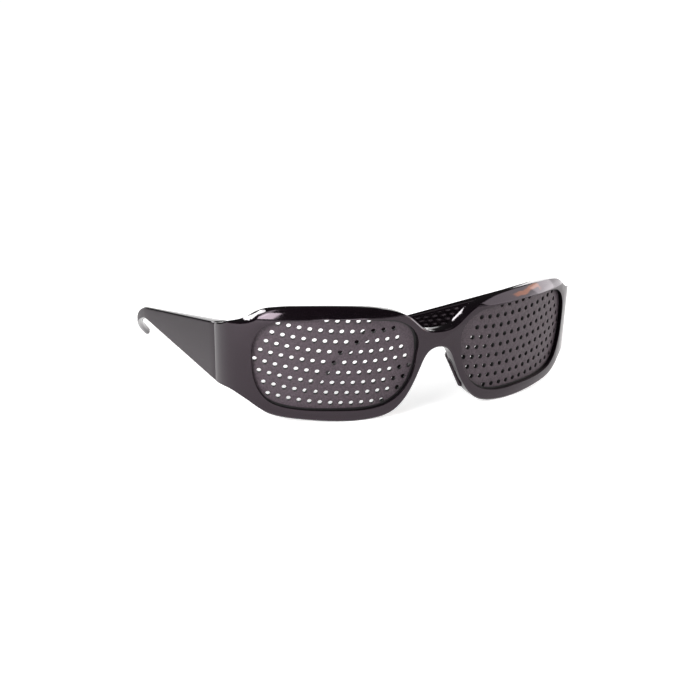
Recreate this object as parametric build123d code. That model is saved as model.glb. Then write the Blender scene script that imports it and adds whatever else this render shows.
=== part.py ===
from build123d import *
import math
import os

# Wraparound pinhole glasses, standing on their rims and ear hooks. Millimetres.
# +X is the wearer's left, -Y is the front, +Z is up. The right arm is open and the left one is folded in.

# Front sheet, seen from above: flat at the bridge, then one arc a side, then a tighter one round the temple
half_width = 70.5
frame_height = 41.0
sheet_radius = 84.0
bridge_half_flat = 10.9
wrap_start_angle = 39.0
wrap_end_angle = 86.0
wrap_radius = 14.0
front_lean = 4.0
rim_proud = 1.7
rim_behind = 3.3
front_bevel = 0.5
skin_limit = 0.7
facet_limit = 0.3
overrun = 20.0

# Edges of the front, as shares of the half width (or of the wrap depth) and of the frame's height
front_top_shares = [(0.0, 0.73), (0.07, 0.748), (0.165, 0.876), (0.3, 0.962), (0.5, 0.993), (0.68, 0.993),
                    (0.77, 0.98), (0.83, 0.952), (0.87, 0.907), (0.9, 0.876), (0.94, 0.859), (1.1, 0.839)]
front_bottom_shares = [(1.1, 0.27), (0.95, 0.225), (0.83, 0.082), (0.68, 0.026), (0.5, 0.0), (0.35, 0.006),
                       (0.24, 0.056), (0.155, 0.209), (0.095, 0.428), (0.045, 0.562), (0.0, 0.584)]
wrap_depth = 28.5
side_top_shares = [(0.5, 1.06), (0.58, 0.965), (0.65, 0.893), (0.72, 0.854), (0.79, 0.832), (0.88, 0.815),
                   (1.0, 0.795), (1.3, 0.775)]
side_bottom_shares = [(1.3, 0.278), (1.0, 0.273), (0.85, 0.268), (0.74, 0.258), (0.65, 0.226),
                      (0.57, 0.176), (0.49, 0.11), (0.4, 0.045), (0.28, -0.035)]

# Lens aperture, as shares of the half width and of the frame's height, nose side first and over the top
aperture_shares = [(0.122, 0.581), (0.142, 0.754), (0.215, 0.851), (0.36, 0.887), (0.53, 0.902),
                   (0.7, 0.897), (0.815, 0.861), (0.874, 0.754), (0.891, 0.551), (0.876, 0.352),
                   (0.822, 0.189), (0.7, 0.117), (0.52, 0.099), (0.34, 0.104), (0.235, 0.168),
                   (0.17, 0.28), (0.134, 0.428)]

# Brow facet: a conical cut that leans back from the top of each rim
brow_angle = 32.0
brow_tilt = 6.5
brow_start_height = 38.6
brow_drop = 24.0

# Pinhole plates, seated in a groove round each aperture
plate_thickness = 1.4
plate_seat_depth = 1.3
plate_fit = 0.05
sheet_chords = 6
wrap_chords = 4
hole_radius = 0.74
hole_sides = 6
hole_pitch = 3.6
row_pitch = 3.7
row_count = 10
longest_row = 5
longest_row_holes = 16
row_curve_radius = 150.0
row_tilt = 2.9
lens_center_x = 37.4
lens_center_height = 19.2
hole_edge_margin = 0.3

# Arms: a broad tapering plate, then a slender ear hook that drops and turns inwards
arm_gap = 0.3
arm_joint_top = 32.6
arm_joint_bottom = 11.2
arm_joint_thickness = 5.6
arm_bend_length = 65.0
arm_bend_height = 4.8
arm_bend_thickness = 2.4
arm_bend_center = 20.0
hook_length = 36.5
hook_inward = 10.0
hook_drop_power = 1.35
hook_inward_power = 2.4
hook_height = 3.0
hook_thickness = 2.3
hook_sections = 6
hook_bevel_share = 0.3
hook_tip_bevel = 0.6
arm_splay = 5.5
left_arm_fold = 92.5
arm_edge_bevel = 0.6

# Hinges: a riveted metal leaf on each side of the joint, three knuckles and a screw
hinge_inset = 6.9
leaf_thickness = 0.9
leaf_seat_depth = 4.4
leaf_seat = 0.05
leaf_height = 7.4
front_leaf_length = 6.6
arm_leaf_length = 11.0
knuckle_radius = 1.7
knuckle_height = 2.3
knuckle_gap = 0.1
screw_radius = 0.7
screw_clearance = 0.05
screw_head_radius = 1.3
screw_head_height = 0.6
screw_slot_width = 0.3
screw_slot_depth = 0.25
rivet_radius = 0.6
rivet_head_radius = 1.05
rivet_head_height = 0.35
rivet_depth = 1.6
rivet_fit = 0.02
rivet_sides = 12

# Nose pads, moulded with the rims
pad_length = 14.0
pad_width = 8.4
pad_thickness = 2.6
pad_bevel = 0.8
pad_seam = 1.0
pad_height = 12.6
pad_inset = 10.5
pad_behind = 3.9
pad_splay = 24.0
pad_toe = -20.0


def sheet_point(angle, depth):
    """Point on the plan curve at a heading, a depth behind the plates' front face."""
    turn = math.radians(angle)
    start = math.radians(wrap_start_angle)
    if angle <= wrap_start_angle:
        radius = sheet_radius - depth
        return (bridge_half_flat + radius * math.sin(turn), sheet_radius - radius * math.cos(turn))
    inner = sheet_radius - wrap_radius
    radius = wrap_radius - depth
    middle = (bridge_half_flat + inner * math.sin(start), sheet_radius - inner * math.cos(start))
    return (middle[0] + radius * math.sin(turn), middle[1] - radius * math.cos(turn))


def sheet_edges(depth):
    """Plan edges of one side from the middle to the end of the wrap, and a straight tail."""
    joint = sheet_point(wrap_end_angle, depth)
    turn = math.radians(wrap_end_angle)
    tail = (joint[0] + overrun * math.cos(turn), joint[1] + overrun * math.sin(turn))
    half_start = wrap_start_angle / 2
    half_wrap = (wrap_start_angle + wrap_end_angle) / 2
    return [
        Line((0, depth), sheet_point(0, depth)),
        ThreePointArc(sheet_point(0, depth), sheet_point(half_start, depth), sheet_point(wrap_start_angle, depth)),
        ThreePointArc(sheet_point(wrap_start_angle, depth), sheet_point(half_wrap, depth), joint),
        Line(joint, tail),
    ], tail


def upright_wall(face):
    """Upright wall on a plan face, leaned as the front leans."""
    return Rot(X=front_lean) * (Pos(0, 0, -overrun) * extrude(face, frame_height + 2 * overrun))


def sheet_wall(front_depth, back_depth):
    """Left half of the curved wall between two depths."""
    front, front_tail = sheet_edges(front_depth)
    back, back_tail = sheet_edges(back_depth)
    face = make_face(front + [Line(front_tail, back_tail)] + back + [Line((0, back_depth), (0, front_depth))])
    return upright_wall(face)


def chord_angles():
    """Headings where the plates' flat chords meet, from the bridge to the end of the wrap."""
    turn = wrap_end_angle - wrap_start_angle
    sheet = [wrap_start_angle * step / sheet_chords for step in range(sheet_chords)]
    return sheet + [wrap_start_angle + turn * step / wrap_chords for step in range(wrap_chords + 1)]


def plate_wall(front_depth, back_depth):
    """The same wall in flat chords, for the plates and the groove that holds them."""
    front = [sheet_point(angle, front_depth) for angle in chord_angles()]
    back = [sheet_point(angle, back_depth) for angle in reversed(chord_angles())]
    return upright_wall(make_face(Polyline([(0, front_depth)] + front + back + [(0, back_depth)], close=True)))


def scaled(shares, width):
    """Outline points from shares of a width and of the frame's height."""
    return [(width * across, frame_height * up) for across, up in shares]


def along_y(face):
    """Block that carries an upright face through the whole depth of the front."""
    reach = wrap_depth + overrun
    return Pos(0, -reach, 0) * extrude(face, 2 * reach, dir=(0, 1, 0))


def front_view_block():
    """Left half of the front's outline as seen from the front, as a block that runs a little past the middle."""
    top = [(x, 0, z) for x, z in scaled(front_top_shares, half_width)]
    bottom = [(x, 0, z) for x, z in scaled(front_bottom_shares, half_width)]
    top = [(-top[1][0], 0, top[1][2])] + top
    bottom = bottom + [(-bottom[-2][0], 0, bottom[-2][2])]
    edges = [Spline(top), Line(top[-1], bottom[0]), Spline(bottom), Line(bottom[-1], top[0])]
    return along_y(make_face(edges))


def side_view_block():
    """Block with the wrapped ends' outline as seen from the side, joint face included."""
    top = [(0, y, z) for y, z in scaled(side_top_shares, wrap_depth)]
    bottom = [(0, y, z) for y, z in scaled(side_bottom_shares, wrap_depth)]
    front_top = (0, -overrun, top[0][2])
    front_bottom = (0, -overrun, bottom[-1][2])
    edges = [Line(front_top, top[0]), Spline(top), Line(top[-1], bottom[0]), Spline(bottom),
             Line(bottom[-1], front_bottom), Line(front_bottom, front_top)]
    block = extrude(make_face(edges), half_width + overrun, dir=(1, 0, 0))
    cut_depth = overrun + wrap_depth
    keep = Pos(0, joint_y - cut_depth, frame_height / 2) * Box(
        2 * (half_width + overrun), 2 * cut_depth, frame_height + 2 * overrun)
    return block & keep


def aperture_face(margin):
    """The lens opening on the left side, seen from the front, grown by a margin."""
    outline = Spline([(x, 0, z) for x, z in scaled(aperture_shares, half_width)], periodic=True)
    if margin:
        count = 2 * len(aperture_shares)
        places = [step / count for step in range(count)]
        outward = Vector(0, 1, 0)
        grown = [outline @ place + (outline % place).cross(outward) * margin for place in places]
        outline = Spline(grown, periodic=True)
    return make_face([outline])


def aperture_block(margin):
    """The lens opening as a block through the front."""
    return along_y(aperture_face(margin))


def brow_cut():
    """Everything ahead of the left brow facet."""
    radius = sheet_radius + rim_proud + brow_drop * math.tan(math.radians(brow_angle))
    height = brow_drop + overrun
    kept = extrude(Circle(radius), height, taper=brow_angle)
    whole = extrude(Circle(2 * radius), height)
    cut = Pos(bridge_half_flat, sheet_radius, brow_start_height - brow_drop) * (whole - kept)
    return Rot(X=front_lean) * (Rot(Y=brow_tilt) * cut)


def nose_pad():
    """Left nose pad: a bevelled fin behind the rim's nose side, clear of the plate."""
    fin = extrude(SlotOverall(pad_length, pad_width), pad_thickness / 2, both=True)
    fin = chamfer(fin.edges().filter_by_position(Axis.Z, -pad_thickness, -pad_seam)
                  + fin.edges().filter_by_position(Axis.Z, pad_seam, pad_thickness), pad_bevel)
    fin = Rot(Z=pad_toe) * (Rot(Y=-pad_splay) * (Rot(Y=90) * fin))
    return Pos(pad_inset, pad_behind, pad_height) * fin - sheet_wall(-overrun, plate_thickness + rim_proud / 2)


# The joint between front and arm, worked out from the wrap
joint_y = sheet_point(wrap_end_angle, -rim_proud)[1] - arm_gap
joint_x = sheet_point(wrap_end_angle, -rim_proud)[0]
hinge_x = joint_x - hinge_inset
hinge_y = joint_y + arm_gap / 2
hinge_z = (arm_joint_top + arm_joint_bottom) / 2
leaf_face_x = joint_x - leaf_seat_depth
arm_flare = math.tan(math.radians(arm_splay))
hook_drop = arm_bend_center - hook_height / 2


def leaf_pocket(length, ahead):
    """Recess for a hinge leaf in the end piece or the arm."""
    direction = -1 if ahead else 1
    depth = leaf_thickness + leaf_seat + overrun
    start = joint_y if ahead else joint_y + arm_gap
    size_y = length + leaf_seat + overrun
    middle_y = start + direction * (length + leaf_seat - overrun) / 2
    return Pos(leaf_face_x + leaf_seat - depth / 2, middle_y, hinge_z) * Box(
        depth, size_y, leaf_height + 2 * leaf_seat)


def knuckle(level, height):
    """One barrel of the hinge."""
    barrel = Cylinder(knuckle_radius, height) - Cylinder(screw_radius + screw_clearance, height + overrun)
    return Pos(hinge_x, hinge_y, hinge_z + level) * barrel


def rivet_places(length, ahead):
    """Two rivets along a leaf, away from the knuckle."""
    direction = -1 if ahead else 1
    start = joint_y if ahead else joint_y + arm_gap
    near = knuckle_radius + rivet_head_radius
    far = length - rivet_head_radius - leaf_seat
    if ahead:
        offset_z = leaf_height / 2 - rivet_head_radius - leaf_seat
        middle = start + direction * (near + far) / 2
        return [(middle, hinge_z + offset_z), (middle, hinge_z - offset_z)]
    return [(start + direction * near, hinge_z), (start + direction * far, hinge_z)]


def rivet_prism(radius, start_x, end_x, y, z):
    """Twelve-sided stand-in for a round pin along X, which keeps the small parts light."""
    pin = extrude(RegularPolygon(radius, rivet_sides), end_x - start_x)
    return Pos(start_x, y, z) * (Rot(Y=90) * pin)


def rivet_bore(y, z):
    """Bore for a rivet shank, through a leaf and into the plastic."""
    start_x = leaf_face_x - leaf_thickness - rivet_depth
    return rivet_prism(rivet_radius + rivet_fit, start_x, leaf_face_x + rivet_depth, y, z)


def hinge_leaf(ahead):
    """Flat leaf with its knuckles: one in the middle on the front, two on the arm."""
    length = front_leaf_length if ahead else arm_leaf_length
    start = joint_y if ahead else joint_y + arm_gap
    direction = -1 if ahead else 1
    plate = Pos(leaf_face_x - leaf_thickness / 2, start + direction * length / 2, hinge_z) * Box(
        leaf_thickness, length, leaf_height)
    plate = chamfer(plate.edges().filter_by(Axis.X).group_by(Axis.Y)[0 if ahead else -1], leaf_thickness)
    step = knuckle_height + knuckle_gap
    levels = [0] if ahead else [-step, step]
    neck_reach = leaf_face_x - hinge_x
    for level in levels:
        neck = Pos(hinge_x + neck_reach / 2, hinge_y + direction * knuckle_radius / 2, hinge_z + level) * Box(
            neck_reach, knuckle_radius, knuckle_height)
        plate = plate + neck + knuckle(level, knuckle_height)
    clear = knuckle_radius + 2 * knuckle_gap
    others = [-step, step] if ahead else [0]
    for level in others:
        plate = plate - Pos(hinge_x, hinge_y, hinge_z + level) * Box(
            2 * clear, 2 * clear, knuckle_height + 2 * knuckle_gap)
    plate = plate - Pos(hinge_x, hinge_y, hinge_z) * Cylinder(screw_radius + screw_clearance, overrun)
    for y, z in rivet_places(length, ahead):
        plate = plate - rivet_bore(y, z)
    return plate


def hinge_screw():
    """Slotted screw through the three knuckles."""
    barrel_height = 3 * knuckle_height + 2 * knuckle_gap
    shank = Cylinder(screw_radius, barrel_height)
    head_z = barrel_height / 2 + screw_head_height / 2
    head = Pos(0, 0, head_z) * Cylinder(screw_head_radius, screw_head_height)
    head = head - Pos(0, 0, head_z + screw_head_height / 2) * Box(
        2 * screw_head_radius, screw_slot_width, 2 * screw_slot_depth)
    return Pos(hinge_x, hinge_y, hinge_z) * (shank + head)


def rivets(length, ahead):
    """The rivets that hold one leaf, as separate solids."""
    pins = []
    seat_x = leaf_face_x - leaf_thickness
    for y, z in rivet_places(length, ahead):
        shank = rivet_prism(rivet_radius, seat_x, seat_x + leaf_thickness + rivet_depth, y, z)
        head = rivet_prism(rivet_head_radius, seat_x - rivet_head_height, seat_x, y, z)
        pins.append(shank + head)
    return Compound(children=pins)


def faces_forward(face):
    """Whether a face of the blank belongs to its front skin, the brow facet left out."""
    normal = face.normal_at(face.center())
    return normal.X - normal.Y > skin_limit and abs(normal.Z) < facet_limit


def front_edges(half):
    """Edges of the front skin that are bevelled: not the middle plane's, the joint's or a smooth seam."""
    edges = ShapeList()
    for face in half.faces():
        if faces_forward(face):
            curved = face.edges() - face.edges().filter_by(GeomType.LINE)
            edges += [edge for edge in curved
                      if edge.bounding_box().max.X > front_bevel and edge.bounding_box().min.Y < joint_y - arm_gap]
    return edges


def front_frame():
    """Rims, bridge, wrapped ends and nose pads, one moulding."""
    half = sheet_wall(-rim_proud, rim_behind) & front_view_block() & side_view_block()
    half = half - brow_cut()
    half = chamfer(front_edges(half), front_bevel)
    half = half - aperture_block(0)
    half = half - (plate_wall(-plate_fit, plate_thickness + plate_fit) & aperture_block(plate_seat_depth + plate_fit))
    half = half + nose_pad() - leaf_pocket(front_leaf_length, True)
    for y, z in rivet_places(front_leaf_length, True):
        half = half - rivet_bore(y, z)
    return half + mirror(half, Plane.YZ)


def hole_rows():
    """Heading and height of each pinhole: staggered rows, curved up at both ends and tilted up outwards."""
    center_angle = math.asin((lens_center_x - bridge_half_flat) / sheet_radius)
    tilt = math.radians(row_tilt)
    for row in range(row_count):
        count = longest_row_holes - abs(row - longest_row)
        rise = ((row_count - 1) / 2 - row) * row_pitch
        for column in range(count):
            along = (column - (count - 1) / 2) * hole_pitch
            up = rise + along * along / (2 * row_curve_radius)
            out = along * math.cos(tilt) - up * math.sin(tilt)
            yield center_angle + out / sheet_radius, along * math.sin(tilt) + up * math.cos(tilt)


def pinhole_plate():
    """Left plate with its holes, each square to the curved face and as wide open as a round one."""
    blank = plate_wall(0, plate_thickness) & aperture_block(plate_seat_depth)
    allowed = aperture_face(hole_edge_margin)
    lean = math.radians(front_lean)
    share = math.pi / hole_sides
    corner_radius = hole_radius * math.sqrt(share / (math.sin(share) * math.cos(share)))
    tools = []
    for turn, rise in hole_rows():
        angle = math.degrees(turn)
        x, y = sheet_point(angle, 0)
        height = lens_center_height + rise
        seen = Vector(x, 0, y * math.sin(lean) + height * math.cos(lean))
        if allowed.is_inside(seen):
            prism = extrude(RegularPolygon(corner_radius, hole_sides), 2 * plate_thickness, both=True)
            tools.append(Rot(X=front_lean) * (Pos(x, y, height) * (Rot(Z=angle) * (Rot(X=90) * prism))))
    return blank - tools


def bar_section(width, height, bevel):
    """Rectangle with bevelled corners, the cross-section of an arm."""
    return chamfer(Rectangle(width, height).vertices(), bevel)


def arm_section_place(share):
    """Plane across the ear hook at a share of its length, from the bend to the tip."""
    along = arm_bend_length + hook_length * share
    inward = hook_inward * share ** hook_inward_power - arm_bend_length * arm_flare
    down = hook_drop * share ** hook_drop_power
    pace = (hook_length,
            hook_inward * hook_inward_power * share ** (hook_inward_power - 1),
            hook_drop * hook_drop_power * share ** (hook_drop_power - 1))
    middle = (joint_x - arm_bend_thickness / 2 - inward, joint_y + arm_gap + along, arm_bend_center - down)
    forward = Vector(-pace[1], pace[0], -pace[2])
    return Plane(origin=middle, x_dir=Vector(pace[0], pace[1], 0), z_dir=forward)


def hook_section(share):
    """Bevelled outline of the ear hook at a share of its length."""
    height = hook_height + (arm_bend_height - hook_height) * (1 - share) ** 2
    thickness = hook_thickness + (arm_bend_thickness - hook_thickness) * (1 - share) ** 2
    return arm_section_place(share) * bar_section(thickness, height, hook_bevel_share * thickness)


def hook():
    """Slender ear hook, lofted from the end of the blade to a bevelled tip."""
    bar = loft([hook_section(step / (hook_sections - 1)) for step in range(hook_sections)])
    tip = bar.faces().sort_by(Axis.Y)[-1]
    return chamfer(tip.edges(), hook_tip_bevel)


def arm():
    """Open left arm: broad blade, ear hook and the recess for its hinge leaf."""
    joint_place = Plane(origin=(joint_x - arm_joint_thickness / 2, joint_y + arm_gap, hinge_z),
                        x_dir=(1, 0, 0), z_dir=(0, 1, 0))
    joint_section = joint_place * bar_section(arm_joint_thickness, arm_joint_top - arm_joint_bottom, arm_edge_bevel)
    blade = loft([joint_section, hook_section(0)], ruled=True)
    whole = blade + hook() - leaf_pocket(arm_leaf_length, False)
    for y, z in rivet_places(arm_leaf_length, False):
        whole = whole - rivet_bore(y, z)
    return whole


def place_arm(piece, side):
    """Left pieces fold in about the hinge; right pieces stay open."""
    if side == "left":
        hinge = Axis((hinge_x, hinge_y, hinge_z), (0, 0, 1))
        return piece.rotate(hinge, left_arm_fold)
    return mirror(piece, Plane.YZ)


def place_front(piece, side):
    """Left pieces stay where they are; right pieces are their mirror image."""
    return piece if side == "left" else mirror(piece, Plane.YZ)


def all_pieces():
    """Every node by name, before the whole is centred."""
    pieces = {"front_frame": front_frame()}
    plate = pinhole_plate()
    left_arm = arm()
    front_leaf = hinge_leaf(True)
    arm_leaf = hinge_leaf(False)
    screw = hinge_screw()
    front_rivets = rivets(front_leaf_length, True)
    arm_rivets = rivets(arm_leaf_length, False)
    for side in ("left", "right"):
        pieces[side + "_pinhole_plate"] = place_front(plate, side)
        pieces[side + "_front_hinge_leaf"] = place_front(front_leaf, side)
        pieces[side + "_front_hinge_rivets"] = place_front(front_rivets, side)
        pieces[side + "_arm"] = place_arm(left_arm, side)
        pieces[side + "_arm_hinge_leaf"] = place_arm(arm_leaf, side)
        pieces[side + "_arm_hinge_rivets"] = place_arm(arm_rivets, side)
        pieces[side + "_hinge_screw"] = place_arm(screw, side)
    return pieces


def write_parts():
    """Centre the glasses over their footprint and write each node."""
    os.makedirs("parts", exist_ok=True)
    pieces = all_pieces()
    boxes = [piece.bounding_box() for piece in pieces.values()]
    low = [min(getattr(box.min, axis) for box in boxes) for axis in "XYZ"]
    high = [max(getattr(box.max, axis) for box in boxes) for axis in "XYZ"]
    shift = Vector(-(low[0] + high[0]) / 2, -(low[1] + high[1]) / 2, -low[2])
    for name, piece in pieces.items():
        export_step(piece.moved(Location(shift)), "parts/" + name + ".step")
    print("shift", shift)
    print("left hinge axis", hinge_x + shift.X, hinge_y + shift.Y, hinge_z + shift.Z)
    print("right hinge axis", -hinge_x + shift.X, hinge_y + shift.Y, hinge_z + shift.Z)


write_parts()
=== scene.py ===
"""Wraparound pinhole glasses on a pale table: one arm open, the other folded behind the front.

The sizes are millimetres in the drawing of the glasses, whose middle plane is X = 0, and go to metres
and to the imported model's place through one function, placed().
"""

import logging
import math
from dataclasses import dataclass
from enum import Enum

import bmesh
import bpy
from mathutils import Matrix, Vector
from mathutils.geometry import delaunay_2d_cdt


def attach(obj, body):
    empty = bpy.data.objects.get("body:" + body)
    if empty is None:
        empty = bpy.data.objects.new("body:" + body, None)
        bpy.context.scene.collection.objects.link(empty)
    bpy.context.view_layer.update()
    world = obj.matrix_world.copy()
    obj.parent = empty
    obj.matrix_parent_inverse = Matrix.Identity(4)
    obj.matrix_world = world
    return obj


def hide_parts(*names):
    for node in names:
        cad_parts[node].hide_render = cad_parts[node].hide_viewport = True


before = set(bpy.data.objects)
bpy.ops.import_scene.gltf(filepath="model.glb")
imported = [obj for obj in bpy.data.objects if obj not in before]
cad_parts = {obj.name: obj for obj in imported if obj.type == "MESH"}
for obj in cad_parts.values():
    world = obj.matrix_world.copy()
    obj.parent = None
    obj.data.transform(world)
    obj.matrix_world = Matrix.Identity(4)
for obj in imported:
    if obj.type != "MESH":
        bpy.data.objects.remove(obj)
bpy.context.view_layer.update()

log = logging.getLogger("pinhole_glasses")

MM = 0.001
# From the drawing's origin, on the bridge's face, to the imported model's origin, in mm
DRAWING_SHIFT = Vector((3.06423, -63.16020, 0.08520))
WHITE = (1.0, 1.0, 1.0, 1.0)
# Vertices closer than this in mm are one, and faces that meet flatter than this angle are joined
WELD_MM = 0.001
FLAT_ANGLE = math.radians(0.6)


class Side(Enum):
    """Wearer's side of a piece, and the sign its X has in the drawing."""

    LEFT = 1
    RIGHT = -1

    @property
    def label(self) -> str:
        """Name as the nodes spell it."""
        return self.name.lower()


class Light(Enum):
    """Lamps of the studio."""

    KEY = "key"
    FILL = "fill"
    RIM = "rim"
    LEFT = "left"
    RIGHT = "right"
    SIDE = "side"
    WINDOW = "window"
    TOP = "top"


def placed(x: float, y: float, z: float, side: Side = Side.LEFT) -> Vector:
    """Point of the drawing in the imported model's frame.

    Args:
        x: Distance from the middle plane, in mm.
        y: Distance behind the bridge, in mm.
        z: Height, in mm.
        side: Side whose mirror image is meant.

    Returns:
        The point in metres.
    """
    return (Vector((side.value * x, y, z)) + DRAWING_SHIFT) * MM


def srgb(code: str) -> tuple[float, float, float, float]:
    """Linear colour from an sRGB hex code, by the standard's own curve.

    Args:
        code: Six hex digits after a hash.

    Returns:
        Red, green, blue and an alpha of one.
    """
    parts = [int(code[start:start + 2], 16) / 255 for start in (1, 3, 5)]
    linear = [part / 12.92 if part <= 0.04045 else ((part + 0.055) / 1.055) ** 2.4 for part in parts]
    return (*linear, 1.0)


def per_metre(size_mm: float) -> float:
    """Scale of a pattern on Object coordinates whose features are size_mm across."""
    return 1.0 / (size_mm * MM)


def add_node(tree: bpy.types.NodeTree, kind: str, settings: dict | None = None,
             inputs: dict | None = None) -> bpy.types.Node:
    """Add a shader node, set it and link it.

    Args:
        tree: Node tree of the material or world.
        kind: Node type.
        settings: Attributes of the node.
        inputs: Sockets by name or number, each with a value or an output to link.

    Returns:
        The new node.
    """
    node = tree.nodes.new(kind)
    for name, value in (settings or {}).items():
        setattr(node, name, value)
    for name, value in (inputs or {}).items():
        if isinstance(value, bpy.types.NodeSocket):
            tree.links.new(value, node.inputs[name])
        else:
            node.inputs[name].default_value = value
    return node


def blank_material(name: str) -> tuple[bpy.types.Material, bpy.types.NodeTree]:
    """Material with an empty node tree.

    Args:
        name: Name of the material.

    Returns:
        The material and its node tree.
    """
    material = bpy.data.materials.new(name)
    material.use_nodes = True
    material.node_tree.nodes.clear()
    return material, material.node_tree


@dataclass(frozen=True)
class GlossPlastic:
    """Gloss black cellulose propionate, moulded in a polished tool.

    It gives a deep, faintly streaked black and sharp reflections that waver a little, rubbed dull in spots.
    Faces marked with satin_attribute come from a satin part of the tool and only shimmer.
    """

    name: str = "gloss_black_cellulose_propionate"
    color: str = "#0a0609"
    flow_color: str = "#0f0a0e"
    sheen_color: str = "#feeaf8"
    roughness: float = 0.07
    rubbed_roughness: float = 0.15
    satin_roughness: float = 0.5
    satin_attribute: str = "satin_side"
    ior: float = 1.48
    flow_mm: float = 16.0
    sink_mm: float = 9.0
    sink_depth_mm: float = 0.01
    rub_mm: float = 2.2
    rub_start: float = 0.45
    rub_end: float = 0.8

    def material(self) -> bpy.types.Material:
        """Build the material.

        Returns:
            The finished material.
        """
        material, tree = blank_material(self.name)
        place = add_node(tree, "ShaderNodeTexCoord").outputs["Object"]
        flow = add_node(tree, "ShaderNodeTexNoise", None,
                        {"Vector": place, "Scale": per_metre(self.flow_mm), "Detail": 3.0})
        tint = add_node(tree, "ShaderNodeMix", {"data_type": "RGBA"},
                        {"Factor": flow.outputs["Fac"], "A": srgb(self.color), "B": srgb(self.flow_color)})
        rub = add_node(tree, "ShaderNodeTexNoise", None,
                       {"Vector": place, "Scale": per_metre(self.rub_mm), "Detail": 6.0, "Roughness": 0.7})
        worn = add_node(tree, "ShaderNodeMapRange", None,
                        {"Value": rub.outputs["Fac"], "From Min": self.rub_start,
                         "From Max": self.rub_end, "To Min": self.roughness,
                         "To Max": self.rubbed_roughness})
        side = add_node(tree, "ShaderNodeAttribute", {"attribute_name": self.satin_attribute})
        satin = add_node(tree, "ShaderNodeMapRange", None,
                         {"Value": side.outputs["Fac"], "To Min": worn.outputs["Result"],
                          "To Max": self.satin_roughness})
        sink = add_node(tree, "ShaderNodeTexNoise", None,
                        {"Vector": place, "Scale": per_metre(self.sink_mm), "Detail": 1.0})
        bump = add_node(tree, "ShaderNodeBump", None,
                        {"Height": sink.outputs["Fac"], "Strength": 1.0, "Distance": self.sink_depth_mm * MM})
        shader = add_node(tree, "ShaderNodeBsdfPrincipled", None,
                          {"Base Color": tint.outputs["Result"], "Roughness": satin.outputs["Result"],
                           "IOR": self.ior, "Specular Tint": srgb(self.sheen_color),
                           "Normal": bump.outputs["Normal"]})
        add_node(tree, "ShaderNodeOutputMaterial", None, {"Surface": shader.outputs["BSDF"]})
        return material


@dataclass(frozen=True)
class GrainedPlastic:
    """Matt black polypropylene, moulded in a spark-eroded tool.

    It gives a fine even grain with a soft dull sheen. The real grain is too fine to show and is drawn at
    half a millimetre. Marked faces are painted near black, as painted shade in the hole bores, on the rear
    and in a thin ring round the plate's edge, inside the frame's recess.
    """

    name: str = "grained_black_polypropylene"
    color: str = "#2e252b"
    worn_color: str = "#473b43"
    # Near-black colour of the painted shade in the bores, on the rear and round the plate's edge
    painted_shade_color: str = "#0b090b"
    roughness: float = 0.62
    roughness_spread: float = 0.08
    ior: float = 1.49
    grain_mm: float = 0.5
    grain_depth_mm: float = 0.05
    grain_strength: float = 0.6
    speck_start: float = 0.35
    speck_end: float = 0.65
    # Face attribute that marks the faces getting painted shade
    painted_shade_attribute: str = "painted_shade"

    def material(self) -> bpy.types.Material:
        """Build the material.

        Returns:
            The finished material.
        """
        material, tree = blank_material(self.name)
        place = add_node(tree, "ShaderNodeTexCoord").outputs["Object"]
        grain = add_node(tree, "ShaderNodeTexNoise", None,
                         {"Vector": place, "Scale": per_metre(self.grain_mm), "Detail": 3.0,
                          "Roughness": 0.6})
        speck = add_node(tree, "ShaderNodeMapRange", None,
                         {"Value": grain.outputs["Fac"], "From Min": self.speck_start,
                          "From Max": self.speck_end})
        skin = add_node(tree, "ShaderNodeMix", {"data_type": "RGBA"},
                        {"Factor": speck.outputs["Result"], "A": srgb(self.color),
                         "B": srgb(self.worn_color)})
        # Painted shade: marked faces are mixed to the near-black colour
        shade_mask = add_node(tree, "ShaderNodeAttribute", {"attribute_name": self.painted_shade_attribute})
        tint = add_node(tree, "ShaderNodeMix", {"data_type": "RGBA"},
                        {"Factor": shade_mask.outputs["Fac"], "A": skin.outputs["Result"],
                         "B": srgb(self.painted_shade_color)})
        dull = add_node(tree, "ShaderNodeMapRange", None,
                        {"Value": grain.outputs["Fac"], "To Min": self.roughness - self.roughness_spread,
                         "To Max": self.roughness + self.roughness_spread})
        bump = add_node(tree, "ShaderNodeBump", None,
                        {"Height": grain.outputs["Fac"], "Strength": self.grain_strength,
                         "Distance": self.grain_depth_mm * MM})
        shader = add_node(tree, "ShaderNodeBsdfPrincipled", None,
                          {"Base Color": tint.outputs["Result"], "Roughness": dull.outputs["Result"],
                           "IOR": self.ior, "Normal": bump.outputs["Normal"]})
        add_node(tree, "ShaderNodeOutputMaterial", None, {"Surface": shader.outputs["BSDF"]})
        return material


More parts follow.
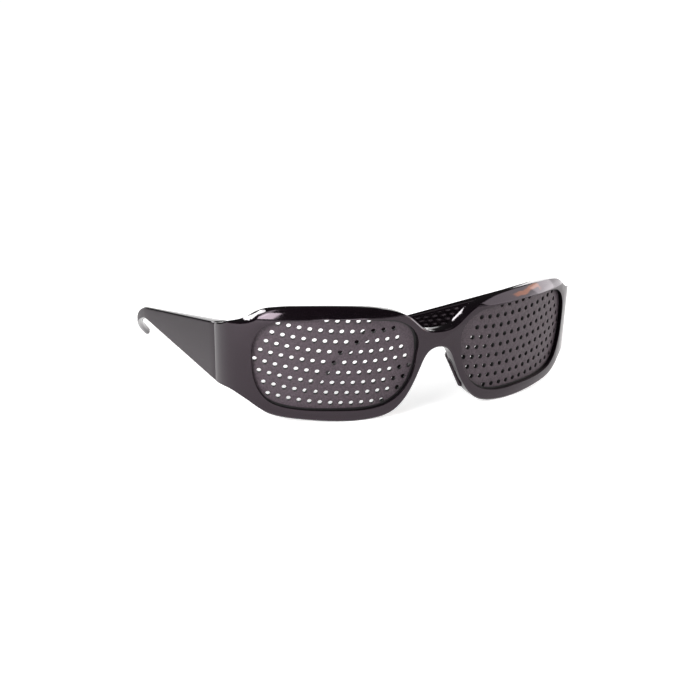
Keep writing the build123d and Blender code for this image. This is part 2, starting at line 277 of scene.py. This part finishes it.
@dataclass(frozen=True)
class PlainSteel:
    """Stainless steel, stamped or turned and barrel polished.

    It gives a grey metal with a soft shine, broken up by fine tumbling scratches.
    """

    name: str = "stamped_stainless_steel"
    color: str = "#c4c4c6"
    shade_color: str = "#a9a9ad"
    smooth_roughness: float = 0.22
    scratched_roughness: float = 0.42
    scratch_mm: float = 0.12
    scratch_stretch: float = 9.0
    scratch_depth_mm: float = 0.004
    scratch_strength: float = 0.5

    def material(self) -> bpy.types.Material:
        """Build the material.

        Returns:
            The finished material.
        """
        material, tree = blank_material(self.name)
        place = add_node(tree, "ShaderNodeTexCoord").outputs["Object"]
        drawn = add_node(tree, "ShaderNodeMapping", None,
                         {"Vector": place, "Scale": (1.0, 1.0, 1.0 / self.scratch_stretch)})
        scratch = add_node(tree, "ShaderNodeTexNoise", None,
                           {"Vector": drawn.outputs["Vector"], "Scale": per_metre(self.scratch_mm),
                            "Detail": 4.0})
        tint = add_node(tree, "ShaderNodeMix", {"data_type": "RGBA"},
                        {"Factor": scratch.outputs["Fac"], "A": srgb(self.color),
                         "B": srgb(self.shade_color)})
        dull = add_node(tree, "ShaderNodeMapRange", None,
                        {"Value": scratch.outputs["Fac"], "To Min": self.smooth_roughness,
                         "To Max": self.scratched_roughness})
        bump = add_node(tree, "ShaderNodeBump", None,
                        {"Height": scratch.outputs["Fac"], "Strength": self.scratch_strength,
                         "Distance": self.scratch_depth_mm * MM})
        shader = add_node(tree, "ShaderNodeBsdfPrincipled", None,
                          {"Base Color": tint.outputs["Result"], "Metallic": 1.0,
                           "Roughness": dull.outputs["Result"], "Normal": bump.outputs["Normal"]})
        add_node(tree, "ShaderNodeOutputMaterial", None, {"Surface": shader.outputs["BSDF"]})
        return material


@dataclass(frozen=True)
class PaperFloor:
    """Seamless white photographer's paper, calendered matt.

    It gives a plain white with a faint tooth. A glow that only camera, glossy and transmission rays see keeps
    it white, and is weaker near the glasses, where it leaves them a soft shadow.
    """

    name: str = "seamless_white_paper"
    color: str = "#f2f2f2"
    fibre_mm: float = 1.4
    fibre_depth_mm: float = 0.05
    fibre_strength: float = 0.1
    near_glow: float = 0.64
    far_glow: float = 1.0
    near_reach: float = 0.14
    far_reach: float = 0.6

    def material(self) -> bpy.types.Material:
        """Build the material.

        Returns:
            The finished material.
        """
        material, tree = blank_material(self.name)
        place = add_node(tree, "ShaderNodeTexCoord").outputs["Object"]
        fibre = add_node(tree, "ShaderNodeTexNoise", None,
                         {"Vector": place, "Scale": per_metre(self.fibre_mm), "Detail": 3.0})
        bump = add_node(tree, "ShaderNodeBump", None,
                        {"Height": fibre.outputs["Fac"], "Strength": self.fibre_strength,
                         "Distance": self.fibre_depth_mm * MM})
        paper = add_node(tree, "ShaderNodeBsdfDiffuse", None,
                         {"Color": srgb(self.color), "Normal": bump.outputs["Normal"]})
        rays = add_node(tree, "ShaderNodeLightPath")
        direct = add_node(tree, "ShaderNodeMath", {"operation": "MAXIMUM"},
                          {0: rays.outputs["Is Camera Ray"], 1: rays.outputs["Is Glossy Ray"]})
        seen = add_node(tree, "ShaderNodeMath", {"operation": "MAXIMUM"},
                        {0: direct.outputs["Value"], 1: rays.outputs["Is Transmission Ray"]})
        reach = add_node(tree, "ShaderNodeVectorMath", {"operation": "LENGTH"}, {0: place})
        glow = add_node(tree, "ShaderNodeMapRange", {"interpolation_type": "SMOOTHSTEP"},
                        {"Value": reach.outputs["Value"], "From Min": self.near_reach,
                         "From Max": self.far_reach, "To Min": self.near_glow, "To Max": self.far_glow})
        strength = add_node(tree, "ShaderNodeMath", {"operation": "MULTIPLY"},
                            {0: seen.outputs["Value"], 1: glow.outputs["Result"]})
        light = add_node(tree, "ShaderNodeEmission", None,
                         {"Color": WHITE, "Strength": strength.outputs["Value"]})
        both = add_node(tree, "ShaderNodeAddShader", None,
                        {0: paper.outputs["BSDF"], 1: light.outputs["Emission"]})
        add_node(tree, "ShaderNodeOutputMaterial", None, {"Surface": both.outputs["Shader"]})
        return material


def select_only(piece: bpy.types.Object) -> None:
    """Deselect everything, then select one piece and make it active.

    Args:
        piece: Piece that the next operator acts on.
    """
    bpy.ops.object.select_all(action="DESELECT")
    piece.select_set(True)
    bpy.context.view_layer.objects.active = piece


def link_mesh(name: str, mesh: bpy.types.Mesh) -> bpy.types.Object:
    """Put a mesh in the scene as an object at the origin.

    Args:
        name: Name of the object.
        mesh: Its mesh, with its place in it.

    Returns:
        The new object.
    """
    piece = bpy.data.objects.new(name, mesh)
    bpy.context.scene.collection.objects.link(piece)
    return piece


def mesh_piece(name: str, points: list[Vector], faces: list[tuple[int, ...]]) -> bpy.types.Object:
    """Object from points and faces, its faces turned outwards.

    Args:
        name: Name of the piece.
        points: Points in metres.
        faces: Faces as point numbers.

    Returns:
        The new object.
    """
    mesh = bpy.data.meshes.new(name)
    mesh.from_pydata(points, [], faces)
    work = bmesh.new()
    work.from_mesh(mesh)
    bmesh.ops.recalc_face_normals(work, faces=work.faces)
    work.to_mesh(mesh)
    work.free()
    return link_mesh(name, mesh)


def node_copy(name: str, node: str) -> bpy.types.Object:
    """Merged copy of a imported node's mesh, with its flat faces joined.

    Args:
        name: Name of the new piece.
        node: Name of the node.

    Returns:
        The new object.
    """
    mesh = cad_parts[node].data.copy()
    mesh.name = name
    mesh.materials.clear()
    work = bmesh.new()
    work.from_mesh(mesh)
    bmesh.ops.remove_doubles(work, verts=work.verts, dist=WELD_MM * MM)
    bmesh.ops.dissolve_limit(work, angle_limit=FLAT_ANGLE, verts=work.verts, edges=work.edges)
    work.to_mesh(mesh)
    work.free()
    return link_mesh(name, mesh)


def soften(piece: bpy.types.Object, width_mm: float, segments: int, limit: float,
           smooth: float = 35.0) -> None:
    """Round a piece's sharp edges and shade it smooth.

    Args:
        piece: Piece to finish.
        width_mm: Width of the rounding.
        segments: Faces across the rounding.
        limit: Edges sharper than this many degrees are rounded.
        smooth: Edges flatter than this many degrees are shaded smooth.
    """
    select_only(piece)
    bevel = piece.modifiers.new("edge_rounding", "BEVEL")
    bevel.width = width_mm * MM
    bevel.segments = segments
    bevel.limit_method = "ANGLE"
    bevel.angle_limit = math.radians(limit)
    bevel.use_clamp_overlap = True
    bevel.miter_outer = "MITER_ARC"
    bpy.ops.object.modifier_apply(modifier=bevel.name)
    bpy.ops.object.shade_smooth_by_angle(angle=math.radians(smooth))


def subtract(piece: bpy.types.Object, tool: bpy.types.Object) -> None:
    """Cut a tool out of a piece and remove the tool.

    Args:
        piece: Piece to cut.
        tool: Closed solid that is taken away.
    """
    select_only(piece)
    cut = piece.modifiers.new("cut", "BOOLEAN")
    cut.operation = "DIFFERENCE"
    cut.solver = "EXACT"
    cut.object = tool
    bpy.ops.object.modifier_apply(modifier=cut.name)
    bpy.data.objects.remove(tool)


def mark_faces(piece: bpy.types.Object, name: str, marked: list[bool]) -> None:
    """Store on each face whether it is marked, for its material to read.

    Args:
        piece: Piece whose faces are marked.
        name: Name of the attribute.
        marked: Whether each face is, in the faces' order.
    """
    marks = piece.data.attributes.new(name, "FLOAT", "FACE")
    marks.data.foreach_set("value", [float(value) for value in marked])


def dress(piece: bpy.types.Object, material: bpy.types.Material, body: str, slot: str, *nodes: str) -> None:
    """Give a piece its finish and its body, and hide the nodes it stands for.

    Args:
        piece: Finished piece.
        material: Its finish.
        body: Body it moves with.
        slot: Material slot of the record; not used.
        nodes: Nodes it replaces.
    """
    piece.data.materials.clear()
    piece.data.materials.append(material)
    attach(piece, body)
    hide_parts(*nodes)
    log.info("%s: %d faces on %s", piece.name, len(piece.data.polygons), body)


@dataclass(frozen=True)
class FrontSheet:
    """Plan curve of the front: flat at the bridge, one arc a side, then a tighter one round the temple."""

    bridge_half_flat: float = 10.9
    sheet_radius: float = 84.0
    wrap_radius: float = 14.0
    wrap_start: float = math.radians(39.0)
    lean: float = math.radians(4.0)
    search_steps: int = 40

    def plan(self, run: float, depth: float) -> tuple[float, float]:
        """Point of the plan curve, in mm of the sheet before it leans.

        Args:
            run: Distance from the middle plane along the curve's face.
            depth: Distance behind the face.

        Returns:
            Distances from the middle plane and behind the bridge.
        """
        first = self.sheet_radius * self.wrap_start
        along = run - self.bridge_half_flat
        if along <= 0:
            return run, depth
        if along <= first:
            turn = along / self.sheet_radius
            radius = self.sheet_radius - depth
            return (self.bridge_half_flat + radius * math.sin(turn),
                    self.sheet_radius - radius * math.cos(turn))
        turn = self.wrap_start + (along - first) / self.wrap_radius
        inner = self.sheet_radius - self.wrap_radius
        radius = self.wrap_radius - depth
        middle_x = self.bridge_half_flat + inner * math.sin(self.wrap_start)
        middle_y = self.sheet_radius - inner * math.cos(self.wrap_start)
        return middle_x + radius * math.sin(turn), middle_y - radius * math.cos(turn)

    def turn_at(self, run: float) -> float:
        """Angle through which the plan curve has turned at a run."""
        first = self.sheet_radius * self.wrap_start
        along = max(run - self.bridge_half_flat, 0.0)
        return min(along, first) / self.sheet_radius + max(along - first, 0.0) / self.wrap_radius

    def run_at(self, x: float) -> float:
        """Run along the curve's face at which it reaches a distance from the middle plane.

        Args:
            x: Distance from the middle plane in mm.

        Returns:
            The run in mm, found by halving.
        """
        low, high = 0.0, self.bridge_half_flat + self.sheet_radius
        for _ in range(self.search_steps):
            middle = (low + high) / 2
            if self.plan(middle, 0.0)[0] < x:
                low = middle
            else:
                high = middle
        return low

    def height_at(self, run: float, z: float) -> float:
        """Height up the leaned sheet of a point seen from the front at height z."""
        return (z - self.plan(run, 0.0)[1] * math.sin(self.lean)) / math.cos(self.lean)

    def point(self, run: float, height: float, depth: float, side: Side) -> Vector:
        """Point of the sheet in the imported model's frame.

        Args:
            run: Distance from the middle plane along the face, in mm.
            height: Height up the leaned sheet, in mm.
            depth: Distance behind the face, in mm.
            side: Wearer's side.

        Returns:
            The point in metres.
        """
        x, y = self.plan(run, depth)
        return placed(x, y * math.cos(self.lean) - height * math.sin(self.lean),
                      y * math.sin(self.lean) + height * math.cos(self.lean), side)


SHEET = FrontSheet()


@dataclass(frozen=True)
class FrontFrame:
    """Moulded front: rims, bridge, wrapped ends and nose pads in one piece."""

    edge_round: float = 0.3
    edge_segments: int = 3
    edge_limit: float = 28.0

    def build(self, finish: bpy.types.Material) -> None:
        """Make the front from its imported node, with rounded edges, and put it on its body.

        Args:
            finish: Its material.
        """
        piece = node_copy("moulded_front", "front_frame")
        soften(piece, self.edge_round, self.edge_segments, self.edge_limit)
        dress(piece, finish, "front", "front_frame", "front_frame")


@dataclass(frozen=True)
class PinholePlate:
    """Curved plate with staggered rows of round holes, snapped in behind each opening."""

    side: Side
    half_width: float = 70.5
    height: float = 41.0
    thickness: float = 1.4
    seat: float = 1.25
    # Width in mm of the ring inside the opening's edge that gets painted shade
    painted_shade_margin: float = 0.6
    hole_radius: float = 0.84
    hole_sides: int = 20
    hole_core_share: float = 0.97
    hole_pitch: float = 3.6
    row_pitch: float = 3.7
    row_count: int = 10
    longest_row: int = 5
    longest_row_holes: int = 16
    row_curve_radius: float = 150.0
    row_tilt: float = math.radians(2.9)
    center_x: float = 37.4
    center_height: float = 19.2
    edge_margin: float = -0.45
    hole_round: float = 0.12
    round_segments: int = 2
    round_limit: float = 50.0
    weld: float = 0.001
    outline_steps: int = 8
    outline_shares: tuple[tuple[float, float], ...] = (
        (0.122, 0.581), (0.142, 0.754), (0.215, 0.851), (0.36, 0.887), (0.53, 0.902), (0.7, 0.897),
        (0.815, 0.861), (0.874, 0.754), (0.891, 0.551), (0.876, 0.352), (0.822, 0.189), (0.7, 0.117),
        (0.52, 0.099), (0.34, 0.104), (0.235, 0.168), (0.17, 0.28), (0.134, 0.428))

    def outline(self, margin: float) -> list[Vector]:
        """Smooth outline of the opening grown by a margin, in sheet coordinates.

        Args:
            margin: Growth in mm.

        Returns:
            Points in order, anticlockwise or clockwise as the shares run.
        """
        seen = [Vector((x * self.half_width, z * self.height)) for x, z in self.outline_shares]
        count = len(seen)
        curve: list[Vector] = []
        for index in range(count):
            a, b, c, d = (seen[(index + step) % count] for step in (-1, 0, 1, 2))
            for part in range(self.outline_steps):
                t = part / self.outline_steps
                curve.append(0.5 * (2 * b + (c - a) * t + (2 * a - 5 * b + 4 * c - d) * t ** 2
                                    + (3 * b - a - 3 * c + d) * t ** 3))
        grown = []
        for index, point in enumerate(curve):
            ahead = curve[(index + 1) % len(curve)] - curve[index - 1]
            outward = Vector((-ahead.y, ahead.x)).normalized()
            grown.append(point + outward * margin)
        runs = [SHEET.run_at(point.x) for point in grown]
        return [Vector((run, SHEET.height_at(run, point.y))) for run, point in zip(runs, grown)]

    def hole_places(self) -> list[Vector]:
        """Lay out the staggered, curved and tilted rows of holes.

        Returns:
            Middles of the holes that fall inside the opening, in sheet coordinates.
        """
        middle = SHEET.run_at(self.center_x)
        edge = self.outline(self.edge_margin)
        places = []
        for row in range(self.row_count):
            count = self.longest_row_holes - abs(row - self.longest_row)
            rise = ((self.row_count - 1) / 2 - row) * self.row_pitch
            for column in range(count):
                along = (column - (count - 1) / 2) * self.hole_pitch
                up = rise + along * along / (2 * self.row_curve_radius)
                turned = Vector((along, up))
                turned.rotate(Matrix.Rotation(self.row_tilt, 2))
                place = Vector((middle + turned.x, self.center_height + turned.y))
                if self.inside(place, edge):
                    places.append(place)
        return places

    @staticmethod
    def inside(place: Vector, edge: list[Vector]) -> bool:
        """Whether a place lies inside a closed outline.

        Args:
            place: Point to test.
            edge: Points of the outline in order.

        Returns:
            True if a line from the place crosses the outline an odd number of times.
        """
        crossings = 0
        for first, second in zip(edge, edge[1:] + edge[:1]):
            if (first.y > place.y) != (second.y > place.y):
                share = (place.y - first.y) / (second.y - first.y)
                crossings += first.x + share * (second.x - first.x) > place.x
        return crossings % 2 == 1

    def build(self, finish: bpy.types.Material) -> None:
        """Make the plate and put it on its body.

        Args:
            finish: Its material.
        """
        rim = self.outline(self.seat)
        # Front faces outside this outline, a thin ring inside the frame's recess, get painted shade
        grained = self.outline(-self.painted_shade_margin)
        holes = self.hole_places()
        points = rim + grained
        loops = [list(range(len(rim))), list(range(len(rim), len(points)))]
        for hole in holes:
            start = len(points)
            for step in range(self.hole_sides):
                turn = 2 * math.pi * step / self.hole_sides
                points.append(hole + self.hole_radius * Vector((math.cos(turn), math.sin(turn))))
            loops.append(list(range(start, start + self.hole_sides)))
        lines = [(loop[step - 1], loop[step]) for loop in loops for step in range(len(loop))]
        inside_outlines = 1
        flat, _, triangles, _, _, _ = delaunay_2d_cdt(points, lines, [], inside_outlines, self.weld)
        # Triangles whose middle is nearer to a hole's middle than this lie inside the hole
        core_radius = self.hole_radius * self.hole_core_share
        kept = []
        # Whether each face gets painted shade, in the faces' order
        smooth = []
        for face in triangles:
            middle = sum((flat[index] for index in face), Vector((0.0, 0.0))) / len(face)
            if all((middle - hole).length > core_radius for hole in holes):
                kept.append(tuple(face))
                smooth.append(not self.inside(middle, grained))
        faces = kept + self.backs(kept, len(flat)) + self.walls(kept, len(flat))
        # The rear and all walls, the hole bores among them, get painted shade
        smooth += [True] * (len(faces) - len(kept))
        front = [SHEET.point(p.x, p.y, 0.0, self.side) for p in flat]
        back = [SHEET.point(p.x if index < len(rim) else self.drawn_run(p.x), p.y, self.thickness, self.side)
                for index, p in enumerate(flat)]
        piece = mesh_piece(self.side.label + "_perforated_plate", front + back, faces)
        # Mark the faces that get painted shade, for the material to darken
        mark_faces(piece, GrainedPlastic.painted_shade_attribute, smooth)
        soften(piece, self.hole_round, self.round_segments, self.round_limit)
        dress(piece, finish, "front", "pinhole_plate", self.side.label + "_pinhole_plate")

    def drawn_run(self, run: float) -> float:
        """Run at the plate's rear of a wall that starts at a run on its face.

        The holes are all parallel to the way the mould opens, which is square to the plate's middle.

        Args:
            run: Run on the face in mm.

        Returns:
            The run at the rear in mm.
        """
        slant = SHEET.turn_at(run) - SHEET.turn_at(SHEET.run_at(self.center_x))
        return run + self.thickness * math.tan(slant)

    @staticmethod
    def backs(kept: list[tuple[int, ...]], count: int) -> list[tuple[int, ...]]:
        """Rear faces of the plate, one behind each front face and count points on."""
        return [tuple(reversed([index + count for index in face])) for face in kept]

    @staticmethod
    def walls(kept: list[tuple[int, ...]], count: int) -> list[tuple[int, ...]]:
        """Walls between front and rear, wherever a front edge has only one face.

        Args:
            kept: Front faces as point numbers.
            count: Points on the front, after which the rear's follow.

        Returns:
            The walls' faces.
        """
        edges: dict[tuple[int, int], tuple[int, int]] = {}
        for face in kept:
            for first, second in zip(face, face[1:] + face[:1]):
                key = (min(first, second), max(first, second))
                if key in edges:
                    del edges[key]
                else:
                    edges[key] = (first, second)
        return [(second, first, first + count, second + count) for first, second in edges.values()]


@dataclass(frozen=True)
class Arm:
    """Side arm: broad tapering blade and a slender ear hook that drops and turns inwards."""

    side: Side
    joint_x: float = 70.614
    joint_y: float = 28.505
    hinge_x: float = 63.714
    hinge_y: float = 28.355
    hinge_z: float = 21.9
    fold: float = 0.0
    joint_height: float = 21.4
    joint_thickness: float = 5.6
    blade_length: float = 65.0
    bend_height: float = 4.8
    bend_thickness: float = 2.4
    bend_z: float = 20.0
    splay: float = math.tan(math.radians(5.5))
    hook_length: float = 36.5
    hook_inward: float = 10.0
    hook_drop: float = 18.5
    hook_drop_power: float = 1.35
    hook_inward_power: float = 2.4
    hook_height: float = 3.0
    hook_thickness: float = 2.3
    blade_round: float = 0.8
    hook_round_share: float = 0.46
    tip_length: float = 1.3
    tip_end: float = 0.985
    blade_steps: int = 14
    hook_steps: int = 30
    tip_steps: int = 6
    corner_steps: int = 5
    corner_limit: float = 0.999
    edge_round: float = 0.22
    edge_segments: int = 3
    edge_limit: float = 50.0
    satin_from: float = 0.8
    leaf_depth: float = 4.35
    leaf_length: float = 11.05
    leaf_height: float = 7.5
    seat_overrun: float = 6.0
    seat_reach: float = 20.0

    def section(self, middle: Vector, across: Vector, up: Vector, width: float, height: float,
                radius: float) -> list[Vector]:
        """Rounded rectangle round a middle point.

        Args:
            middle: Middle of the section in mm.
            across: Unit direction of its width.
            up: Unit direction of its height.
            width: Width in mm.
            height: Height in mm.
            radius: Corner radius in mm.

        Returns:
            Points in order.
        """
        radius = min(radius, width / 2 * self.corner_limit, height / 2 * self.corner_limit)
        points = []
        corners = ((1, 1), (-1, 1), (-1, -1), (1, -1))
        for number, (sign_x, sign_y) in enumerate(corners):
            for step in range(self.corner_steps + 1):
                turn = math.pi / 2 * (number + step / self.corner_steps)
                x = sign_x * (width / 2 - radius) + radius * math.cos(turn)
                y = sign_y * (height / 2 - radius) + radius * math.sin(turn)
                points.append(middle + across * x + up * y)
        return points

    def hook_place(self, share: float) -> tuple[Vector, Vector, Vector]:
        """Place of the hook's cross-section at a share of its length.

        Args:
            share: 0 at the bend and 1 at the tip.

        Returns:
            Its middle in mm, and the unit directions of its width and its height.
        """
        inward = self.hook_inward * share ** self.hook_inward_power - self.blade_length * self.splay
        down = self.hook_drop * share ** self.hook_drop_power
        pace = Vector((self.hook_length,
                       self.hook_inward * self.hook_inward_power * share ** (self.hook_inward_power - 1),
                       self.hook_drop * self.hook_drop_power * share ** (self.hook_drop_power - 1)))
        middle = Vector((self.joint_x - self.bend_thickness / 2 - inward,
                         self.joint_y + self.blade_length + self.hook_length * share, self.bend_z - down))
        forward = Vector((-pace.y, pace.x, -pace.z)).normalized()
        across = Vector((pace.x, pace.y, 0.0)).normalized()
        return middle, across, across.cross(forward)

    def sections(self) -> list[list[Vector]]:
        """Cross-sections of the blade, the hook and its rounded tip.

        Returns:
            The sections from the joint to the tip, each as points in mm.
        """
        rows = []
        bend_middle, _, _ = self.hook_place(0.0)
        start_middle = Vector((self.joint_x - self.joint_thickness / 2, self.joint_y, self.hinge_z))
        for step in range(self.blade_steps):
            share = step / self.blade_steps
            rows.append(self.section(
                start_middle.lerp(bend_middle, share), Vector((1, 0, 0)), Vector((0, 0, 1)),
                self.joint_thickness + (self.bend_thickness - self.joint_thickness) * share,
                self.joint_height + (self.bend_height - self.joint_height) * share,
                self.blade_round + (self.hook_round_share * self.bend_thickness - self.blade_round) * share))
        tip_share = self.tip_length / self.hook_length
        shares = [(step / self.hook_steps * (1 - tip_share), 1.0) for step in range(self.hook_steps + 1)]
        for step in range(1, self.tip_steps + 1):
            turn = math.pi / 2 * step / self.tip_steps * self.tip_end
            shares.append((1 - tip_share * (1 - math.sin(turn)), math.cos(turn)))
        for share, size in shares:
            rest = (1 - share) ** 2
            middle, across, up = self.hook_place(share)
            height = self.hook_height + (self.bend_height - self.hook_height) * rest
            width = self.hook_thickness + (self.bend_thickness - self.hook_thickness) * rest
            rows.append(self.section(middle, across, up, width * size, height * size,
                                     self.hook_round_share * width * size))
        return rows

    def turned(self, point: Vector) -> Vector:
        """Point of the open arm's drawing, folded about the hinge as the arm is.

        Args:
            point: Point in mm.

        Returns:
            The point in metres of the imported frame.
        """
        pivot = Vector((self.hinge_x, self.hinge_y, 0.0))
        swung = Matrix.Rotation(math.radians(self.fold), 3, "Z") @ (point - pivot) + pivot
        return placed(swung.x, swung.y, swung.z, self.side)

    def build(self, finish: bpy.types.Material) -> None:
        """Make the arm and put it on its body.

        Args:
            finish: Its material.
        """
        rows = self.sections()
        size = len(rows[0])
        points = [self.turned(point) for row in rows for point in row]
        faces: list[tuple[int, ...]] = [tuple(range(size)), tuple(range(len(points) - size, len(points)))]
        for row in range(len(rows) - 1):
            for step in range(size):
                following = (step + 1) % size
                faces.append((row * size + step, row * size + following,
                              (row + 1) * size + following, (row + 1) * size + step))
        piece = mesh_piece(self.side.label + "_side_arm", points, faces)
        self.cut_seat(piece)
        outward = (self.turned(Vector((1.0, 0.0, 0.0))) - self.turned(Vector((0.0, 0.0, 0.0)))).normalized()
        mark_faces(piece, GlossPlastic.satin_attribute,
                   [face.normal.dot(outward) > self.satin_from for face in piece.data.polygons])
        soften(piece, self.edge_round, self.edge_segments, self.edge_limit)
        body = self.side.label + "_arm"
        dress(piece, finish, body, "arm", body)

    def cut_seat(self, piece: bpy.types.Object) -> None:
        """Cut the recess for the hinge leaf in the arm's inner face.

        Args:
            piece: The arm before its edges are rounded.
        """
        size = Vector((self.seat_reach, self.leaf_length + self.seat_overrun, self.leaf_height))
        middle = Vector((self.joint_x - self.leaf_depth - size.x / 2,
                         self.joint_y - self.seat_overrun + size.y / 2, self.hinge_z))
        bpy.ops.object.select_all(action="DESELECT")
        bpy.ops.mesh.primitive_cube_add(size=1.0, location=self.turned(middle), scale=size * MM,
                                        rotation=(0.0, 0.0, self.side.value * math.radians(self.fold)))
        subtract(piece, bpy.context.object)


@dataclass(frozen=True)
class SteelPiece:
    """One piece of a hinge: its node and its title after the side, what it moves with and its rounding."""

    node: str
    title: str
    body: str
    slot: str
    rounding: float


@dataclass(frozen=True)
class Hinge:
    """Riveted steel hinge: a leaf on the front, a leaf on the arm, their rivets and the screw."""

    side: Side
    round_segments: int = 2
    round_limit: float = 30.0
    leaf_round: float = 0.12
    head_round: float = 0.16

    def pieces(self) -> tuple[SteelPiece, ...]:
        """List the hinge's pieces.

        Returns:
            The pieces in the order they are made.
        """
        arm = self.side.label + "_arm"
        return (SteelPiece("_front_hinge_leaf", "_front_leaf", "front", "hinge_leaf", self.leaf_round),
                SteelPiece("_arm_hinge_leaf", "_arm_leaf", arm, "hinge_leaf", self.leaf_round),
                SteelPiece("_front_hinge_rivets", "_front_rivets", "front", "rivet", self.head_round),
                SteelPiece("_arm_hinge_rivets", "_arm_rivets", arm, "rivet", self.head_round),
                SteelPiece("_hinge_screw", "_screw", arm, "screw", self.head_round))

    def build(self, finish: bpy.types.Material) -> None:
        """Copy each steel node, round its edges and put it on its body.

        Args:
            finish: Their material.
        """
        for steel in self.pieces():
            node = self.side.label + steel.node
            piece = node_copy(self.side.label + steel.title, node)
            soften(piece, steel.rounding, self.round_segments, self.round_limit)
            dress(piece, finish, steel.body, steel.slot, node)


def direction(azimuth: float, elevation: float) -> Vector:
    """Unit vector from the glasses: azimuth from -Y towards +X and elevation, both in radians."""
    return Vector((math.sin(azimuth) * math.cos(elevation), -math.cos(azimuth) * math.cos(elevation),
                   math.sin(elevation)))


@dataclass(frozen=True)
class Lamp:
    """Softbox of the studio.

    Attributes:
        light: Which lamp it is.
        azimuth: Angle in degrees from -Y towards +X at which it stands.
        elevation: Angle in degrees above the table.
        distance: Distance from the glasses in metres.
        size: Width and height in metres.
        power: Power in watts.
        color: sRGB hex code of its light.
    """

    light: Light
    azimuth: float
    elevation: float
    distance: float
    size: tuple[float, float]
    power: float
    color: str = "#ffffff"


@dataclass(frozen=True)
class Studio:
    """Pale table, soft lamps and the camera at the photograph's viewing angle."""

    camera_place: tuple[float, float, float] = (-194.95, -410.72, 145.57)
    azimuth: float = math.radians(-25.44)
    elevation: float = math.radians(17.24)
    roll: float = math.radians(0.49)
    focal_px: float = 1200.0
    image_px: float = 700.0
    sensor_mm: float = 36.0
    near_clip: float = 0.01
    floor_size: float = 60.0
    target: tuple[float, float, float] = (0.0, -0.03, 0.02)
    horizon_light: float = 1.0
    ceiling_light: float = 0.03
    horizon_top: float = 0.09
    ceiling_start: float = 0.2
    lamps: tuple[Lamp, ...] = (
        Lamp(Light.KEY, azimuth=-64.0, elevation=42.0, distance=0.9, size=(0.38, 0.38), power=2.0),
        Lamp(Light.FILL, azimuth=-12.0, elevation=10.0, distance=1.1, size=(0.5, 0.3), power=2.2),
        Lamp(Light.RIM, azimuth=-172.0, elevation=24.0, distance=0.9, size=(0.24, 0.115), power=0.85),
        Lamp(Light.LEFT, azimuth=-60.0, elevation=24.0, distance=0.38, size=(0.18, 0.14), power=1.2),
        Lamp(Light.RIGHT, azimuth=66.0, elevation=20.0, distance=0.6, size=(0.55, 0.34), power=1.6),
        Lamp(Light.SIDE, azimuth=109.0, elevation=11.0, distance=0.6, size=(0.8, 0.25), power=2.0),
        Lamp(Light.WINDOW, azimuth=72.0, elevation=19.0, distance=0.8, size=(0.26, 0.1), power=0.36,
             color="#ff9c3c"),
        Lamp(Light.TOP, azimuth=0.0, elevation=88.0, distance=1.2, size=(1.0, 1.0), power=1.8),
    )

    def camera(self) -> None:
        """Add the camera."""
        back = direction(self.azimuth, self.elevation)
        right = Vector((0, 0, 1)).cross(back).normalized()
        up = back.cross(right)
        across = right * math.cos(self.roll) + up * math.sin(self.roll)
        upright = up * math.cos(self.roll) - right * math.sin(self.roll)
        data = bpy.data.cameras.new("photo_camera")
        data.sensor_width = self.sensor_mm
        data.lens = self.sensor_mm * self.focal_px / self.image_px
        data.clip_start = self.near_clip
        camera = bpy.data.objects.new("photo_camera", data)
        bpy.context.scene.collection.objects.link(camera)
        turn = Matrix((across, upright, back)).transposed().to_4x4()
        camera.matrix_world = Matrix.Translation(Vector(self.camera_place) * MM) @ turn
        bpy.context.scene.camera = camera

    def floor(self) -> None:
        """Add the paper the glasses stand on."""
        bpy.ops.object.select_all(action="DESELECT")
        bpy.ops.mesh.primitive_plane_add(size=self.floor_size, location=(0, 0, 0))
        sheet = bpy.context.object
        sheet.name = "paper_floor"
        sheet.data.materials.append(PaperFloor().material())

    def lights(self) -> None:
        """Add the lamps, each turned to the glasses."""
        target = Vector(self.target)
        for lamp in self.lamps:
            data = bpy.data.lights.new(lamp.light.value + "_softbox", "AREA")
            data.shape = "RECTANGLE"
            data.size, data.size_y = lamp.size
            data.energy = lamp.power
            data.color = srgb(lamp.color)[:3]
            piece = bpy.data.objects.new(lamp.light.value + "_softbox", data)
            bpy.context.scene.collection.objects.link(piece)
            way = direction(math.radians(lamp.azimuth), math.radians(lamp.elevation))
            piece.location = target + way * lamp.distance
            piece.rotation_euler = way.to_track_quat("Z", "Y").to_euler()

    def world(self) -> None:
        """Add the studio walls: white up to a little above the horizon, then darker to the ceiling."""
        world = bpy.data.worlds.new("studio_walls")
        bpy.context.scene.world = world
        world.use_nodes = True
        tree = world.node_tree
        tree.nodes.clear()
        way = add_node(tree, "ShaderNodeTexCoord").outputs["Generated"]
        split = add_node(tree, "ShaderNodeSeparateXYZ", None, {"Vector": way})
        light = add_node(tree, "ShaderNodeMapRange", {"interpolation_type": "SMOOTHSTEP"},
                         {"Value": split.outputs["Z"], "From Min": self.horizon_top,
                          "From Max": self.ceiling_start, "To Min": self.horizon_light,
                          "To Max": self.ceiling_light})
        walls = add_node(tree, "ShaderNodeBackground", None,
                         {"Color": WHITE, "Strength": light.outputs["Result"]})
        add_node(tree, "ShaderNodeOutputWorld", None, {"Surface": walls.outputs["Background"]})

    def build(self) -> None:
        """Make the whole studio."""
        self.camera()
        self.floor()
        self.lights()
        self.world()
        bpy.context.scene.view_settings.view_transform = "Standard"


# Degrees by which each arm is folded in the photographed pose
FOLDS = {Side.LEFT: 92.5, Side.RIGHT: 0.0}


def main() -> None:
    """Build the glasses piece by piece, then the studio."""
    logging.basicConfig(level=logging.INFO, format="%(name)s %(message)s")
    gloss = GlossPlastic().material()
    grained = GrainedPlastic().material()
    steel = PlainSteel().material()
    FrontFrame().build(gloss)
    for side in Side:
        PinholePlate(side).build(grained)
        Arm(side, fold=FOLDS[side]).build(gloss)
        Hinge(side).build(steel)
    Studio().build()


if __name__ == "__main__":
    main()
